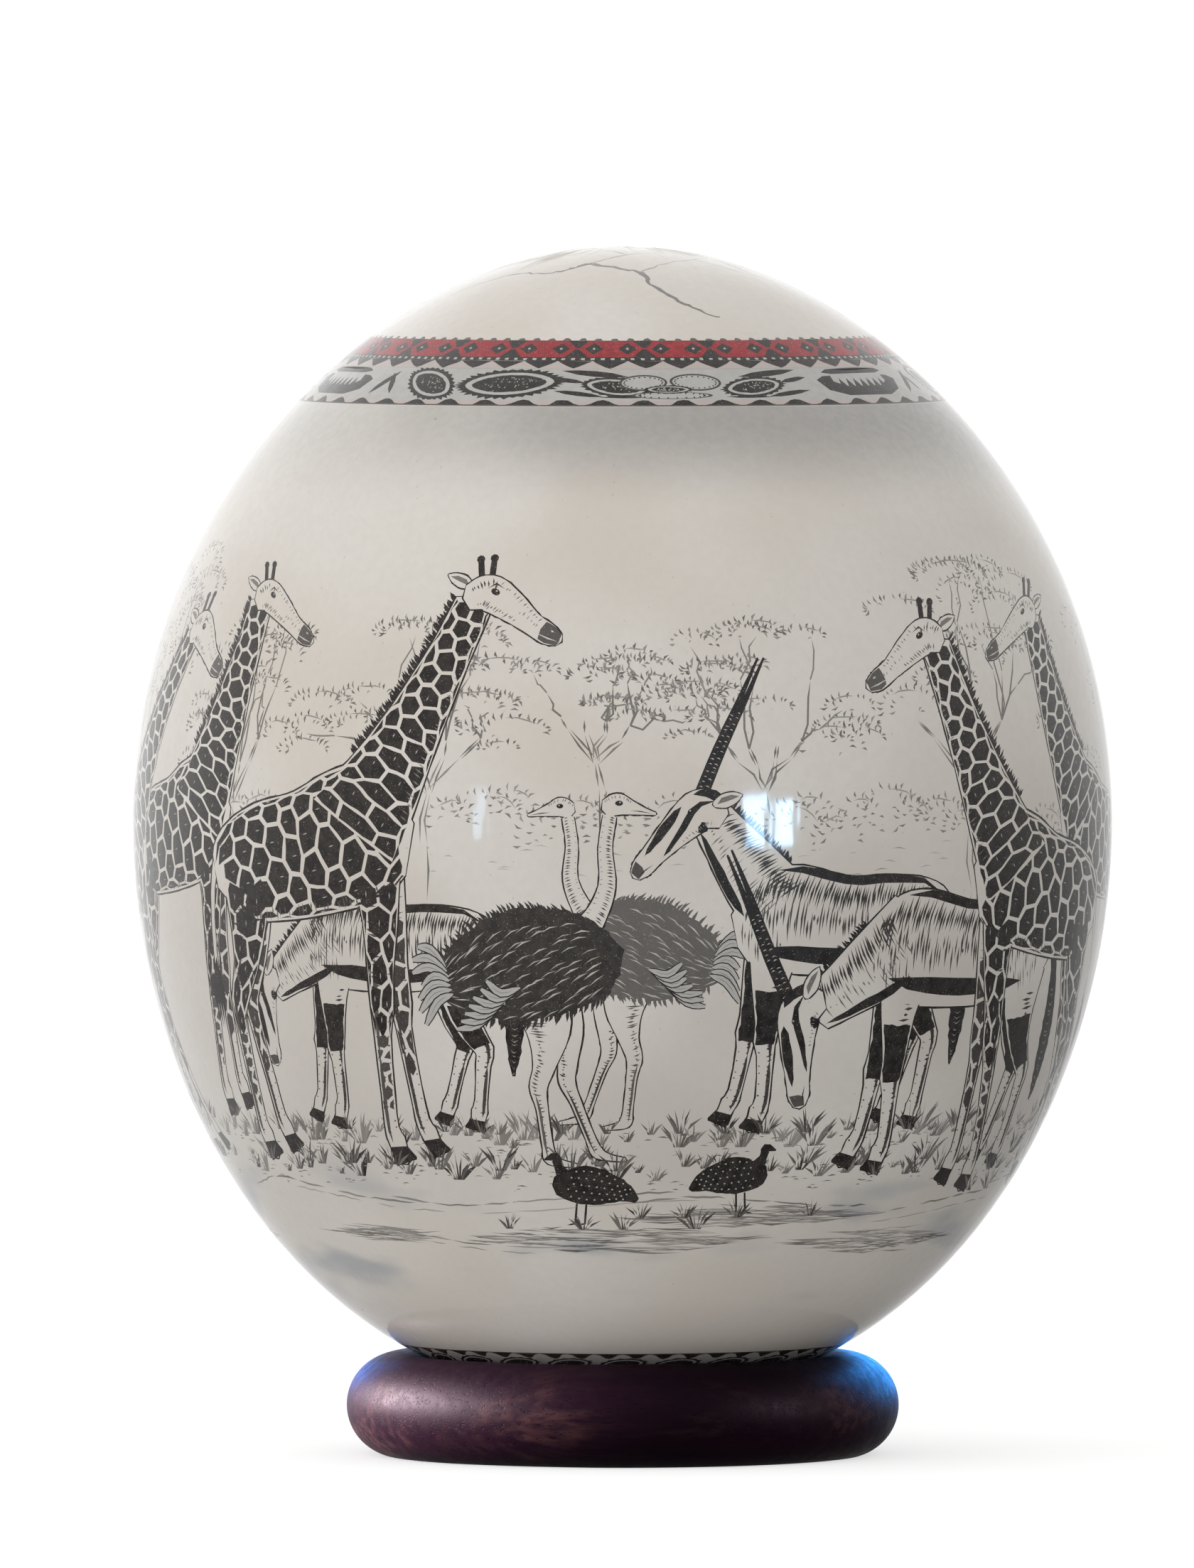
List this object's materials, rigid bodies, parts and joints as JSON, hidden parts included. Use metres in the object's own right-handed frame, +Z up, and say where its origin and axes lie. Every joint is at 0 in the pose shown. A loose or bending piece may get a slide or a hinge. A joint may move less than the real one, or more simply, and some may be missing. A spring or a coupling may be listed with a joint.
{
  "type": "decorated ostrich egg on a ring stand",
  "caption": "Ostrich egg with a printed ink frieze and patterned bands under clear lacquer, resting in a turned dark wooden ring stand.",
  "frame": {"origin": "centre of the ring stand's flat foot, on the surface that the object stands on", "axes": "+Z up along the egg's long axis and the ring's axis; -Y towards the side of the egg that the picture shows"},
  "size_m": [0.1306, 0.1306, 0.1611],
  "materials": {
    "lacquered_shell": "cream eggshell with a charcoal print, sealed under glossy clear lacquer",
    "dark_stained_wood": "very dark red-brown stain, satin varnish"
  },
  "bodies": {
    "root": {"egg": "lacquered_shell", "ring_stand": "dark_stained_wood"}
  },
  "joints": []
}
